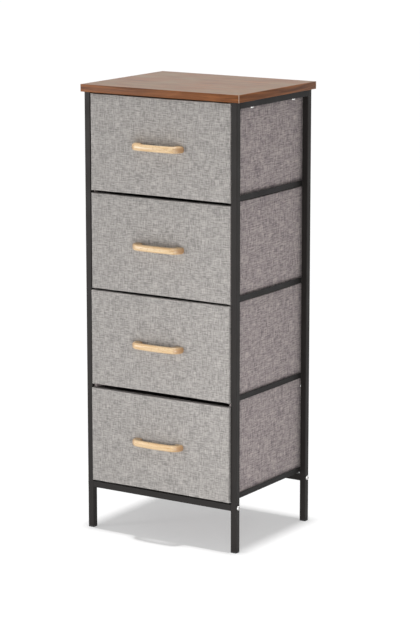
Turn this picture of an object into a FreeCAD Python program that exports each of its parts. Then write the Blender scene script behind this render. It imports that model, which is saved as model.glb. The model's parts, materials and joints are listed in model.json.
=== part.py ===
"""A narrow chest of four fabric drawers.

Two welded steel side frames carry a laminated top board and are bolted together by a front and a rear
cross rail.  Each drawer is a fabric bin with a stiff base board and a stiff fabric-covered front, and
slides on the ledges of a pair of angle runners.  A wooden bow handle seats on each front.

Millimetres, +Z up, +X to the right of someone who faces the chest, -Y towards them.  The origin is the
middle of the chest's outline on the floor.
"""

import FreeCAD
import Part

import os

import Sketcher

V = FreeCAD.Vector

# The drawers, numbered from the top.
DRAWERS = (1, 2, 3, 4)

# Driving sizes.
SIZES = {
    # The chest as a whole
    "chest_width": 420,
    "chest_height": 1035,
    "frame_depth": 321,
    "side_overhang": 7,
    "front_overhang": 5,
    "rear_overhang": 9,
    # Top board
    "top_thickness": 17,
    "top_arris": 0.8,
    # Square tube of the posts and rails
    "tube_side": 15,
    "tube_wall": 1.2,
    "tube_round": 1.5,
    "cross_rail_underside": 97,
    # Feet
    "foot_thickness": 3,
    "foot_plug_depth": 14,
    "foot_plug_wall": 1.8,
    "foot_plug_clearance": 0.15,
    # Angle runners, of which the lowest pair stands at this height
    "runner_underside": 118,
    "runner_upright": 12.5,
    "runner_ledge": 20,
    "runner_sheet": 1.2,
    "runner_bend": 1.8,
    # Screws that hold the top board, through the top rails
    "top_screw_inset": 71,
    "top_screw_diameter": 4,
    "top_screw_grip": 12,
    "top_screw_head": 11,
    "top_screw_head_height": 3.2,
    # Bolts that hold the cross rails, through the posts
    "frame_bolt_diameter": 6,
    "frame_bolt_head": 11,
    "frame_bolt_head_height": 3.3,
    "frame_bolt_head_bevel": 1.8,
    "frame_bolt_key": 4,
    "frame_bolt_key_depth": 2,
    "frame_bolt_tip": 2,
    "rail_nut_length": 12,
    "rail_nut_clearance": 0.2,
    # Clearances that every drilled hole shares
    "bolt_clearance": 0.3,
    "pilot_clearance": 0.1,
    # How far each drawer stands out of the frame's front plane
    "drawer_1_out": 0,
    "drawer_2_out": 0,
    "drawer_3_out": 3,
    "drawer_4_out": 5,
    # Drawer front
    "front_thickness": 12,
    "front_side_gap": 3.5,
    "front_gap": 5.5,
    "front_top_gap": 2.5,
    "front_drop": 1,
    "front_round": 4.5,
    # Fabric bin and its base board
    "bin_side_gap": 5,
    "bin_behind_frame": 1,
    "bin_below_front": 1,
    "bin_ride": 0.3,
    "bin_wall": 3,
    "base_board_thickness": 3,
    "base_board_gap": 1.5,
    # Bow handle
    "handle_length": 133,
    "handle_height": 15,
    "handle_projection": 29,
    "handle_thickness": 13,
    "handle_foot": 17,
    "handle_bow": 2,
    "handle_outer_corner": 16,
    "handle_inner_corner": 8,
    "handle_bevel": 3.5,
}

# Values worked out from the driving sizes.
WORKED = {
    "frame_width": "S.chest_width - 2 * S.side_overhang",
    "frame_top": "S.chest_height - S.top_thickness",
    "bay_width": "W.frame_width - 2 * S.tube_side",
    "bay_depth": "S.frame_depth - 2 * S.tube_side",
    "tube_bore": "S.tube_side - 2 * S.tube_wall",
    "post_length": "W.frame_top - S.foot_thickness",
    "farthest_out": "max(S.drawer_1_out; S.drawer_2_out; S.drawer_3_out; S.drawer_4_out)",
    "front_plane": "(S.handle_projection + W.farthest_out - S.frame_depth - S.rear_overhang) / 2",
    "rear_plane": "W.front_plane + S.frame_depth",
    "post_x": "(W.frame_width - S.tube_side) / 2",
    "post_front_y": "W.front_plane + S.tube_side / 2",
    "post_rear_y": "W.rear_plane - S.tube_side / 2",
    "bolt_z": "S.cross_rail_underside + S.tube_side / 2",
    "stack_top": "W.frame_top - S.front_top_gap + S.front_gap",
    "stack_bottom": "S.runner_underside - S.front_drop",
    "runner_pitch": f"(W.stack_top - W.stack_bottom) / {len(DRAWERS)}",
    "front_height": "W.runner_pitch - S.front_gap",
    "front_width": "W.bay_width - 2 * S.front_side_gap",
    "front_middle_z": "W.front_height / 2 - S.front_drop",
    "bin_width": "W.bay_width - 2 * S.bin_side_gap",
    "bin_depth": "S.frame_depth + S.bin_behind_frame - S.front_thickness",
    "bin_underside": "S.runner_sheet + S.bin_ride",
    "bin_height": "W.front_height - S.front_drop - S.bin_below_front - W.bin_underside",
    "handle_inner_bow": "S.handle_bow * (1 - 2 * S.handle_foot / S.handle_length) ^ 2",
    "handle_shoulder": "S.handle_projection - S.handle_bow",
    "handle_inner_shoulder": "S.handle_projection - S.handle_thickness - W.handle_inner_bow",
}

SIDES = {"left": -1, "right": 1}
PLANE_ACROSS = {"X": "YZ_Plane", "Y": "XZ_Plane", "Z": "XY_Plane"}
TURN_FROM_Z = {
    "+X": FreeCAD.Rotation(V(0, 1, 0), 90),
    "-X": FreeCAD.Rotation(V(0, 1, 0), -90),
    "+Z": FreeCAD.Rotation(),
}
SAME = 1e-4

doc = FreeCAD.newDocument("fabric_drawer_chest")


# ---- The sheet, and the small vocabulary that every sub-part is written in ----


def spell(expression):
    """An expression with the short names S. and W. written out in full."""
    return str(expression).replace("S.", "Sizes.").replace("W.", "Worked.")


def write_sizes():
    """Puts the driving sizes in the sheet, and binds the worked-out values to them."""
    sheet = doc.addObject("Spreadsheet::Sheet", "Sizes")
    for row, (name, size) in enumerate(SIZES.items(), start=1):
        sheet.set(f"A{row}", name)
        sheet.set(f"B{row}", str(size))
        sheet.setAlias(f"B{row}", name)
    doc.recompute()
    worked = doc.addObject("App::VarSet", "Worked")
    for name, expression in WORKED.items():
        worked.addProperty("App::PropertyFloat", name, "Worked", "")
        worked.setExpression(name, spell(expression))
        doc.recompute()


def value(expression):
    """The present value of an expression, for choosing edges and first guesses."""
    return float(doc.getObject("Sizes").evalExpression(spell(expression)))


def bind(item, **expressions):
    """Binds an object's properties to expressions over the sheet."""
    for name, expression in expressions.items():
        item.setExpression(name, spell(expression))


def place(item, x="0", y="0", z="0", turn="+Z"):
    """Puts an object where three expressions say, with its own Z turned to an axis."""
    item.Placement = FreeCAD.Placement(V(), TURN_FROM_Z[turn])
    for axis, expression in zip("xyz", (x, y, z)):
        item.setExpression(f".Placement.Base.{axis}", spell(expression))


def new_body(label):
    body = doc.addObject("PartDesign::Body", label)
    body.Label = label
    return body


def new_sketch(body, across, name, height="0"):
    """A sketch on the body's own plane that an axis crosses, raised by an expression."""
    plane = next(f for f in body.Origin.OriginFeatures if f.Role == PLANE_ACROSS[across])
    sketch = body.newObject("Sketcher::SketchObject", name)
    sketch.AttachmentSupport = [(plane, "")]
    sketch.MapMode = "FlatFace"
    sketch.setExpression(".AttachmentOffset.Base.z", spell(height))
    return sketch


def pin_point(sketch, line, end, x, y):
    """Holds the end of a sketch edge at two expressions."""
    for kind, expression in (("DistanceX", x), ("DistanceY", y)):
        constraint = Sketcher.Constraint(kind, -1, 1, line, end, value(expression))
        index = sketch.addConstraint(constraint)
        sketch.setExpression(f"Constraints[{index}]", spell(expression))


def outline(sketch, corners, bows=None):
    """A closed outline through corners given as pairs of expressions.

    bows maps the number of an edge to its rise: that edge is an arc to the right of its direction.
    """
    bows = bows or {}
    points = [V(value(x), value(y), 0) for x, y in corners]
    first = sketch.GeometryCount
    for number, start in enumerate(points):
        end = points[(number + 1) % len(points)]
        edge = Part.LineSegment(start, end)
        if number in bows:
            right = (end - start).normalize().cross(V(0, 0, 1))
            crown = (start + end) / 2 + right * value(bows[number])
            turns_left = value(bows[number]) > 0
            edge = Part.Arc(start, crown, end) if turns_left else Part.Arc(end, crown, start)
        sketch.addGeometry(edge)
    for number, corner in enumerate(corners):
        edge, following = first + number, first + (number + 1) % len(points)
        start = end_at(sketch.Geometry[edge], points[number])
        joint = points[(number + 1) % len(points)]
        ends = end_at(sketch.Geometry[edge], joint), end_at(sketch.Geometry[following], joint)
        sketch.addConstraint(Sketcher.Constraint("Coincident", edge, ends[0], following, ends[1]))
        pin_point(sketch, edge, start, *corner)
        if number in bows:
            chord = f"(({corners[(number + 1) % len(points)][0]}) - ({corner[0]}))"
            radius = f"abs({chord} ^ 2 / (8 * ({bows[number]})) + ({bows[number]}) / 2)"
            index = sketch.addConstraint(Sketcher.Constraint("Radius", edge, value(radius)))
            sketch.setExpression(f"Constraints[{index}]", spell(radius))


def end_at(geometry, point):
    """Sketcher's number, 1 or 2, of the end of an edge that lies at a point."""
    return 1 if geometry.StartPoint.distanceToPoint(point) < SAME else 2


def rectangle(sketch, width, height, x="0", y="0"):
    """A rectangle of a width and height about a centre, all expressions."""
    left, right = f"{x} - ({width}) / 2", f"{x} + ({width}) / 2"
    low, high = f"{y} - ({height}) / 2", f"{y} + ({height}) / 2"
    outline(sketch, [(left, low), (right, low), (right, high), (left, high)])


def pad(body, sketch, length, name="Pad"):
    """Extrudes a sketch towards the positive end of the axis that crosses it."""
    feature = body.newObject("PartDesign::Pad", name)
    feature.Profile = sketch
    bind(feature, Length=length)
    feature.Reversed = "XZ" in sketch.AttachmentSupport[0][0].Role
    doc.recompute()
    return feature


def drill(body, name, diameter, length, x="0", y="0", z="0", towards="+Z"):
    """A round hole that starts at a point and runs towards an axis."""
    hole = body.newObject("PartDesign::SubtractiveCylinder", name)
    bind(hole, Radius=f"({diameter}) / 2", Height=length)
    place(hole, x, y, z, towards)
    doc.recompute()


def dress_edges(body, kind, name, chosen, **size):
    """Works those edges of a body that a test chooses, with a fillet or a chamfer."""
    edges = body.Tip.Shape.Edges
    names = [f"Edge{number}" for number, edge in enumerate(edges, start=1) if chosen(edge)]
    feature = body.newObject(f"PartDesign::{kind}", name)
    feature.Base = (feature.BaseFeature, names)
    bind(feature, **size)
    doc.recompute()


def soften(body, radius, chosen, name):
    """Rounds the chosen edges."""
    dress_edges(body, "Fillet", name, chosen, Radius=radius)


def bevel(body, width, chosen, name):
    """Cuts the chosen edges off at 45 degrees."""
    dress_edges(body, "Chamfer", name, chosen, Size=width)


def runs_along(edge, axis):
    """Whether an edge is straight and parallel to an axis."""
    if len(edge.Vertexes) != 2 or not isinstance(edge.Curve, Part.Line):
        return False
    return abs(abs(edge.tangentAt(edge.FirstParameter).dot(axis)) - 1) < SAME


def lies_at(edge, direction, distance):
    """Whether a whole edge lies in the plane at a distance along a direction."""
    box = edge.BoundBox
    corners = (V(box.XMin, box.YMin, box.ZMin), V(box.XMax, box.YMax, box.ZMax))
    return all(abs(corner.dot(direction) - distance) < SAME for corner in corners)


# ---- Top board ----


def make_top_board():
    """The laminated board, with a blind pilot hole over each screw of the top rails."""
    board = new_body("top_board")
    depth = "(S.frame_depth + S.front_overhang + S.rear_overhang)"
    middle = "(S.frame_depth + S.rear_overhang - S.front_overhang) / 2"
    outer = new_sketch(board, "Z", "top_board_outline")
    rectangle(outer, "S.chest_width", depth, "0", middle)
    pad(board, outer, "S.top_thickness")
    for side, sign in SIDES.items():
        for end, y in (("front", "S.top_screw_inset"), ("rear", "S.frame_depth - S.top_screw_inset")):
            size = "S.top_screw_diameter + 2 * S.pilot_clearance"
            drill(board, f"pilot_{side}_{end}", size, "S.top_screw_grip", f"{sign} * W.post_x", y)
    bevel(board, "S.top_arris", lambda e: not e.Closed, "top_board_arris")
    place(board, "0", "W.front_plane", "W.frame_top")
    return board


# ---- Steel frame ----


def tube(label, along, length):
    """A length of hollow square tube, centred on its axis, with rounded corners."""
    body = new_body(label)
    section = new_sketch(body, along, f"{label}_section")
    rectangle(section, "S.tube_side", "S.tube_side")
    rectangle(section, "W.tube_bore", "W.tube_bore")
    pad(body, section, length)
    axis = {"X": V(1, 0, 0), "Y": V(0, 1, 0), "Z": V(0, 0, 1)}[along]
    reach = value("S.tube_side") / 2

    def outer(edge):
        point = edge.Vertexes[0].Point
        offsets = [abs(c) for c, a in zip(point, axis) if a < SAME]
        return runs_along(edge, axis) and min(offsets) > reach - SAME

    soften(body, "S.tube_round", outer, f"{label}_corners")
    return body


def make_posts():
    """Four posts, each drilled sideways for the bolt of its cross rail."""
    posts = []
    for end in ("front", "rear"):
        for side, sign in SIDES.items():
            post = tube(f"post_{end}_{side}", "Z", "W.post_length")
            size = "S.frame_bolt_diameter + 2 * S.bolt_clearance"
            height = "W.bolt_z - S.foot_thickness"
            through = ("2 * S.tube_side", "-S.tube_side", "0", height, "+X")
            drill(post, f"bolt_hole_{end}_{side}", size, *through)
            place(post, f"{sign} * W.post_x", f"W.post_{end}_y", "S.foot_thickness")
            posts.append(post)
    return posts


def make_top_rails():
    """Two rails between the tops of the posts, each drilled upwards for its two screws."""
    rails = []
    for side, sign in SIDES.items():
        rail = tube(f"top_rail_{side}", "Y", "W.bay_depth")
        near = "S.top_screw_inset - S.tube_side"
        for end, y in (("front", near), ("rear", f"W.bay_depth - ({near})")):
            size = "S.top_screw_diameter + 2 * S.bolt_clearance"
            drill(rail, f"screw_hole_{side}_{end}", size, "2 * S.tube_side", "0", y, "-S.tube_side")
        place(rail, f"{sign} * W.post_x", "W.front_plane + S.tube_side", "W.frame_top - S.tube_side / 2")
        rails.append(rail)
    return rails


def make_cross_rails():
    """The front and rear rails that tie the two side frames together."""
    rails = []
    for end in ("front", "rear"):
        rail = tube(f"cross_rail_{end}", "X", "W.bay_width")
        place(rail, "-W.bay_width / 2", f"W.post_{end}_y", "W.bolt_z")
        rails.append(rail)
    return rails


def make_runners():
    """Four pairs of angle runners, their uprights flush with the inner faces of the posts."""
    runners = []
    for drawer in DRAWERS:
        for side, sign in SIDES.items():
            runner = new_body(f"runner_{drawer}_{side}")
            section = new_sketch(runner, "Y", f"runner_{drawer}_{side}_section")
            ledge_end = "(S.runner_ledge - S.runner_sheet)"
            corners = [
                ("-S.runner_sheet", "0"),
                (ledge_end, "0"),
                (ledge_end, "S.runner_sheet"),
                ("0", "S.runner_sheet"),
                ("0", "S.runner_upright"),
                ("-S.runner_sheet", "S.runner_upright"),
            ]
            outline(section, [(f"{-sign} * ({x})", z) for x, z in corners])
            pad(runner, section, "W.bay_depth")
            bend_runner(runner, sign)
            place(runner, f"{sign} * W.bay_width / 2", "W.front_plane + S.tube_side", runner_z(drawer))
            runners.append(runner)
    return runners


def bend_runner(runner, sign):
    """Rounds the outside and the inside of the bend, which share one centre."""
    sheet = value("S.runner_sheet")

    across, up = V(1, 0, 0), V(0, 0, 1)

    def at(x, z):
        return lambda e: runs_along(e, V(0, 1, 0)) and lies_at(e, across, x) and lies_at(e, up, z)

    soften(runner, "S.runner_bend", at(sign * sheet, 0), "bend_outside")
    soften(runner, "S.runner_bend - S.runner_sheet", at(0, sheet), "bend_inside")


def runner_z(drawer):
    """The height of the underside of a drawer's runners, as an expression."""
    return f"S.runner_underside + {DRAWERS[-1] - drawer} * W.runner_pitch"


def make_feet():
    """A plug for the lower end of each post: a foot plate under a hollow stem."""
    feet = []
    for end in ("front", "rear"):
        for side, sign in SIDES.items():
            foot = new_body(f"foot_{end}_{side}")
            plate = new_sketch(foot, "Z", f"foot_plate_{end}_{side}")
            rectangle(plate, "S.tube_side", "S.tube_side")
            pad(foot, plate, "S.foot_thickness", "plate")
            soften(foot, "S.tube_round", lambda e: runs_along(e, V(0, 0, 1)), "plate_corners")
            stem = new_sketch(foot, "Z", f"foot_stem_{end}_{side}", "S.foot_thickness")
            outer = "(W.tube_bore - 2 * S.foot_plug_clearance)"
            rectangle(stem, outer, outer)
            rectangle(stem, f"{outer} - 2 * S.foot_plug_wall", f"{outer} - 2 * S.foot_plug_wall")
            pad(foot, stem, "S.foot_plug_depth", "stem")
            place(foot, f"{sign} * W.post_x", f"W.post_{end}_y")
            feet.append(foot)
    return feet


# ---- Fasteners ----


def make_fastener(label, diameter, length, head, head_height):
    """A fastener along +Z: its shank starts at the origin, and its flat head hangs below."""
    body = new_body(label)
    half = new_sketch(body, "Y", f"{label}_half")
    corners = [
        ("0", f"-({head_height})"),
        (f"({head}) / 2", f"-({head_height})"),
        (f"({head}) / 2", "0"),
        (f"({diameter}) / 2", "0"),
        (f"({diameter}) / 2", length),
        ("0", length),
    ]
    outline(half, corners)
    turned = body.newObject("PartDesign::Revolution", f"{label}_turned")
    turned.Profile = half
    turned.ReferenceAxis = (half, ["V_Axis"])
    turned.Angle = 360
    doc.recompute()
    return body


def finish_button_head(bolt):
    """Bevels the rim of a frame bolt's head, and sinks the hexagonal key socket in it."""
    top = value("-S.frame_bolt_head_height")
    bevel(bolt, "S.frame_bolt_head_bevel", lambda e: lies_at(e, V(0, 0, 1), top), "button_rim")
    key = bolt.newObject("PartDesign::SubtractivePrism", "key_socket")
    key.Polygon = 6
    bind(key, Circumradius="S.frame_bolt_key / sqrt(3)", Height="S.frame_bolt_key_depth")
    place(key, "0", "0", "-S.frame_bolt_head_height")
    doc.recompute()


def group(label, source, places):
    """One node of like pieces: a link to the source at each (x, y, z, turn)."""
    links = []
    for number, where in enumerate(places, start=1):
        link = doc.addObject("App::Link", f"{label}_{number}")
        link.LinkedObject = source
        place(link, *where)
        links.append(link)
    compound = doc.addObject("Part::Compound", label)
    compound.Label = label
    compound.Links = links
    return compound


def make_frame_fasteners():
    """The screws of the top board, the bolts of the cross rails and the nuts that these enter."""
    length = "2 * S.tube_wall + W.tube_bore + S.top_screw_grip"
    sizes = ("S.top_screw_diameter", length, "S.top_screw_head", "S.top_screw_head_height")
    screw = make_fastener("top_screw", *sizes)
    length = "S.tube_side + S.rail_nut_length + S.frame_bolt_tip"
    sizes = ("S.frame_bolt_diameter", length, "S.frame_bolt_head", "S.frame_bolt_head_height")
    bolt = make_fastener("frame_bolt", *sizes)
    finish_button_head(bolt)
    nut = new_body("rail_nut")
    block = new_sketch(nut, "Z", "rail_nut_block")
    rectangle(block, "W.tube_bore - 2 * S.rail_nut_clearance", "W.tube_bore - 2 * S.rail_nut_clearance")
    pad(nut, block, "S.rail_nut_length")
    drill(nut, "thread_bore", "S.frame_bolt_diameter + 2 * S.pilot_clearance", "S.rail_nut_length")
    screws, bolts, nuts = [], [], []
    for sign in SIDES.values():
        inwards = "+X" if sign < 0 else "-X"
        for y in ("W.front_plane + S.top_screw_inset", "W.rear_plane - S.top_screw_inset"):
            screws.append((f"{sign} * W.post_x", y, "W.frame_top - S.tube_side"))
        for y in ("W.post_front_y", "W.post_rear_y"):
            bolts.append((f"{sign} * W.frame_width / 2", y, "W.bolt_z", inwards))
            nuts.append((f"{sign} * W.bay_width / 2", y, "W.bolt_z", inwards))
    kinds = (("top_screws", screw, screws), ("frame_bolts", bolt, bolts), ("rail_nuts", nut, nuts))
    return [group(*kind) for kind in kinds]


# ---- Drawers.  Each is drawn with its front face at y = 0 and its runners' underside at z = 0. ----


def make_front(label):
    """The stiff covered front, which hangs past its runners and hides them."""
    front = new_body(label)
    face = new_sketch(front, "Y", f"{label}_face")
    rectangle(face, "W.front_width", "W.front_height", "0", "W.front_middle_z")
    pad(front, face, "S.front_thickness")
    soften(front, "S.front_round", lambda e: lies_at(e, V(0, 1, 0), 0), "front_rounding")
    return front


def make_bin(label):
    """The fabric bin, a box that is open at the top."""
    fabric_bin = new_body(label)
    floor = new_sketch(fabric_bin, "Z", f"{label}_floor")
    rectangle(floor, "W.bin_width", "W.bin_depth", "0", "W.bin_depth / 2")
    pad(fabric_bin, floor, "W.bin_height")
    faces = fabric_bin.Tip.Shape.Faces
    height = value("W.bin_height")
    top = next(f"Face{n}" for n, f in enumerate(faces, start=1) if f.BoundBox.ZMin > height - SAME)
    shell = fabric_bin.newObject("PartDesign::Thickness", "bin_shell")
    shell.Base = (shell.BaseFeature, [top])
    shell.Reversed = True
    shell.Join = "Intersection"
    bind(shell, Value="S.bin_wall")
    doc.recompute()
    return fabric_bin


def make_base_board(label):
    """The loose stiff board on the floor of a bin."""
    board = new_body(label)
    plan = new_sketch(board, "Z", f"{label}_plan")
    inset = "2 * (S.bin_wall + S.base_board_gap)"
    rectangle(plan, f"W.bin_width - {inset}", f"W.bin_depth - {inset}", "0", "W.bin_depth / 2")
    pad(board, plan, "S.base_board_thickness")
    return board


def make_handle(label):
    """A wooden bow with two square feet, sawn to a bowed outline and bevelled all round."""
    handle = new_body(label)
    plan = new_sketch(handle, "Z", f"{label}_plan")
    end, inner_end = "S.handle_length / 2", "S.handle_length / 2 - S.handle_foot"
    corners = [
        (f"-({end})", "0"),
        (f"-({end})", "-W.handle_shoulder"),
        (end, "-W.handle_shoulder"),
        (end, "0"),
        (inner_end, "0"),
        (inner_end, "-W.handle_inner_shoulder"),
        (f"-({inner_end})", "-W.handle_inner_shoulder"),
        (f"-({inner_end})", "0"),
    ]
    outline(plan, corners, {1: "S.handle_bow", 5: "-W.handle_inner_bow"})
    pad(handle, plan, "S.handle_height")
    shoulder, inner = value("W.handle_shoulder"), value("W.handle_inner_shoulder")
    upright, outwards = V(0, 0, 1), V(0, -1, 0)

    def upright_at(distance):
        return lambda e: runs_along(e, upright) and lies_at(e, outwards, distance)

    soften(handle, "S.handle_outer_corner", upright_at(shoulder), "shoulders")
    soften(handle, "S.handle_inner_corner", upright_at(inner), "throats")
    height = value("S.handle_height")

    def rim(edge):
        level = lies_at(edge, upright, 0) or lies_at(edge, upright, height)
        return level and not lies_at(edge, V(0, 1, 0), 0)

    bevel(handle, "S.handle_bevel", rim, "rim_bevel")
    return handle


def make_drawer(drawer):
    """The four nodes of one drawer, at its own height and its own distance out."""
    name = f"drawer_{drawer}"
    y = f"W.front_plane - S.{name}_out"
    z = runner_z(drawer)
    behind = f"{y} + S.front_thickness"
    front = make_front(f"{name}_front")
    place(front, "0", y, z)
    fabric_bin = make_bin(f"{name}_bin")
    place(fabric_bin, "0", behind, f"{z} + W.bin_underside")
    board = make_base_board(f"{name}_base_board")
    place(board, "0", behind, f"{z} + W.bin_underside + S.bin_wall")
    handle = make_handle(f"{name}_handle")
    place(handle, "0", y, f"{z} + W.front_middle_z - S.handle_height / 2")
    return [front, fabric_bin, board, handle]


# ---- Checking and writing ----


def check(nodes):
    """Stops if any object failed to build, or any node is empty or not valid."""
    failed = [o.Label for o in doc.Objects if {"Invalid", "Error"} & set(o.State)]
    failed += [n.Label for n in nodes if n.Shape.isNull() or not n.Shape.isValid() or n.Shape.Volume <= 0]
    if failed:
        raise RuntimeError(f"these failed to build: {failed}")


def write(nodes):
    """Writes one STEP file for each node, and prints what it holds."""
    os.makedirs("parts", exist_ok=True)
    for node in nodes:
        node.Shape.exportStep(os.path.join("parts", f"{node.Label}.step"))
        box = node.Shape.BoundBox
        size = " x ".join(f"{length:.1f}" for length in (box.XLength, box.YLength, box.ZLength))
        print(f"{node.Label}: {size}, {len(node.Shape.Solids)} solid(s)")


def main():
    write_sizes()
    nodes = [make_top_board(), *make_posts(), *make_top_rails(), *make_cross_rails(), *make_runners()]
    nodes += [*make_feet(), *make_frame_fasteners()]
    nodes += [node for drawer in DRAWERS for node in make_drawer(drawer)]
    doc.recompute()
    check(nodes)
    write(nodes)


main()
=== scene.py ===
"""The looks of a narrow chest of four fabric drawers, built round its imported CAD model.

Everything is in metres and in the model's own frame: +Z is up, +X is to the right of someone who faces the
drawers, and the drawers pull out along -Y.
"""

import json
import logging
import math
from dataclasses import dataclass
from enum import Enum

import bmesh
import bpy
from mathutils import Matrix, Vector, noise


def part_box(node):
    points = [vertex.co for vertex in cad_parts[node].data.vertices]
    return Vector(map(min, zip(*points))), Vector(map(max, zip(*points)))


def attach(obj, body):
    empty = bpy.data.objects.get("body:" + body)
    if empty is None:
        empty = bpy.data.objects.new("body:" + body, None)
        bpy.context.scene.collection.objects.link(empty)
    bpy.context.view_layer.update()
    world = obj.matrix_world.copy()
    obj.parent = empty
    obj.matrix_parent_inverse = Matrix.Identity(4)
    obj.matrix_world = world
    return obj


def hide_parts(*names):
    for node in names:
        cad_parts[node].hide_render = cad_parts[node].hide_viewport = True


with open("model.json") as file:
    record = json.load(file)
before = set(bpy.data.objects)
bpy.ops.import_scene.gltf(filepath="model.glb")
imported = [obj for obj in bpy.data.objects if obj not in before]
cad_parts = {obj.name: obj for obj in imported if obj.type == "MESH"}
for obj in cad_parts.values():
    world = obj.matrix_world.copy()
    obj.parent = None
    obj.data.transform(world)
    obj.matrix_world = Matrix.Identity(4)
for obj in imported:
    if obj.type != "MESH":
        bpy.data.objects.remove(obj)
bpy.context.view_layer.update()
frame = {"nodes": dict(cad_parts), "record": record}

MM = 0.001
WHITE = "#ffffff"
PARALLEL = 0.99  # the least cosine between two directions that count as one
SHARP = 0.5  # the least angle, in radians, between the faces of a sharp edge

Colour = tuple[float, float, float, float]
Material = bpy.types.Material
Tree = bpy.types.NodeTree
Node = bpy.types.Node
Outputs = bpy.types.bpy_prop_collection
Socket = bpy.types.NodeSocket
Shape = bmesh.types.BMesh
Edge = bmesh.types.BMEdge

log = logging.getLogger("fabric_drawer_chest")


# ---- Colours and nodes ----


def linear(hex_colour: str) -> Colour:
    """Turns an sRGB colour to the linear one that shaders take.

    Args:
        hex_colour: a colour such as "#a7a4a1".

    Returns:
        Red, green, blue and an alpha of 1.
    """
    channels = [int(hex_colour[place : place + 2], 16) / 255 for place in (1, 3, 5)]
    red, green, blue = (c / 12.92 if c <= 0.04045 else ((c + 0.055) / 1.055) ** 2.4 for c in channels)
    return red, green, blue, 1.0


def add_node(tree: Tree, kind: str, feeds: dict | None = None, **settings: object) -> Node:
    """Adds a shader node, sets it, and fills or links its inputs.

    Args:
        tree: the node tree that it goes into.
        kind: the node's type name, without the "ShaderNode" in front.
        feeds: for each input, by name or number, a value, a hex colour or the socket that feeds it.
        settings: the node's own properties.

    Returns:
        The new node.
    """
    node = tree.nodes.new("ShaderNode" + kind)
    for name, setting in settings.items():
        setattr(node, name, setting)
    for name, feed in (feeds or {}).items():
        if isinstance(feed, Socket):
            tree.links.new(feed, node.inputs[name])
        else:
            node.inputs[name].default_value = linear(feed) if isinstance(feed, str) else feed
    return node


def scatter_marks(
    tree: Tree,
    place: Socket,
    size: list[float],
    detail: float,
    roughness: float = 0.5,
) -> Outputs:
    """Scatters soft marks of a given size over a surface.

    Args:
        tree: the node tree that they are wired in.
        place: the coordinates that they lie on.
        size: how long they are along x, y and z, in metres.
        detail: how many finer layers of marks lie in them.
        roughness: how strong each finer layer is.

    Returns:
        The outputs of the noise.
    """
    laid = add_node(tree, "Mapping", {"Vector": place, "Scale": [1 / length for length in size]})
    noise_feeds = {"Vector": laid.outputs[0], "Scale": 1.0, "Detail": detail, "Roughness": roughness}
    return add_node(tree, "TexNoise", noise_feeds).outputs


def lay_over(
    tree: Tree,
    under: str | Socket,
    over: str,
    pattern: Socket,
    rise: tuple[float, float] = (0.0, 1.0),
    cover: float = 1.0,
) -> Socket:
    """Lays one colour over another where a pattern is strong.

    Args:
        tree: the node tree that it is wired in.
        under: the lower colour.
        over: the upper colour.
        pattern: the pattern.
        rise: where in the pattern the upper colour starts, and where it is full.
        cover: how much of the lower colour it then hides.

    Returns:
        The socket with the colour.
    """
    ramp = {"Value": pattern, "From Min": rise[0], "From Max": rise[1], "To Max": cover}
    share = add_node(tree, "MapRange", ramp).outputs["Result"]
    return add_node(tree, "Mix", {0: share, 6: under, 7: over}, data_type="RGBA").outputs[2]


# ---- Finishes ----


@dataclass(frozen=True)
class Finish:
    """A finish: what the material is called, and how its shader is wired."""

    name: str

    def wire(self, tree: Tree, at: Outputs) -> Node:
        """Wires the shader, which each finish does in its own way.

        Args:
            tree: the material's node tree.
            at: the coordinates of a point: Object, UV and Normal.

        Returns:
            The shader.
        """
        raise NotImplementedError

    def material(self) -> Material:
        """Builds the finish as a material.

        Returns:
            The new material.
        """
        material = bpy.data.materials.new(self.name)
        material.use_nodes = True
        tree = material.node_tree
        tree.nodes.clear()
        shader = self.wire(tree, add_node(tree, "TexCoord").outputs)
        add_node(tree, "OutputMaterial", {"Surface": shader.outputs["BSDF"]})
        return material

    def shade(
        self, tree: Tree, look: dict, gloss: dict | None = None, relief: dict | None = None
    ) -> Node:
        """Adds the shader, and what varies its gloss and its relief.

        Args:
            tree: the material's node tree.
            look: the shader's own inputs.
            gloss: how a pattern sets the roughness.
            relief: how a pattern stands out from the surface.

        Returns:
            The shader.
        """
        feeds = dict(look)
        if gloss:
            feeds["Roughness"] = add_node(tree, "MapRange", gloss).outputs["Result"]
        if relief:
            feeds["Normal"] = add_node(tree, "Bump", relief).outputs["Normal"]
        return add_node(tree, "BsdfPrincipled", feeds)


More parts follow.
